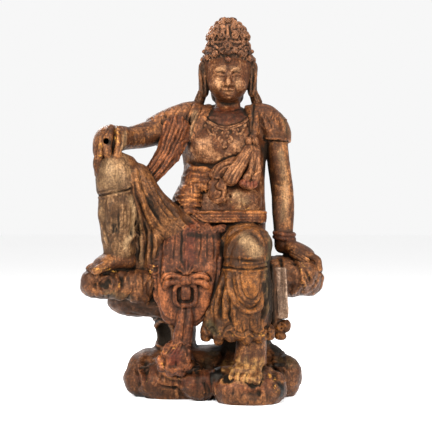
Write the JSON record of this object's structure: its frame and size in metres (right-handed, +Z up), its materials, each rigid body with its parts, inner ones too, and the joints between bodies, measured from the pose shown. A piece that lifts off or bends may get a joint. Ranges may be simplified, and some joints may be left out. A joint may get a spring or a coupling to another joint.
{
  "type": "guanyin statue",
  "caption": "Carved wooden figure seated in royal ease on a rock, one knee raised with an arm over it, robed, with a tall crown; stands on its flat rock base.",
  "frame": {"origin": "centre of the rock base's flat underside", "axes": "+Z up, -Y the way the figure faces, +X to the viewer's right"},
  "size_m": [0.4702, 0.279, 0.752],
  "materials": {
    "carved_wood": "old polished wood, rubbed to golden tan on the high places"
  },
  "bodies": {
    "root": {"statue": "carved_wood"}
  },
  "joints": []
}
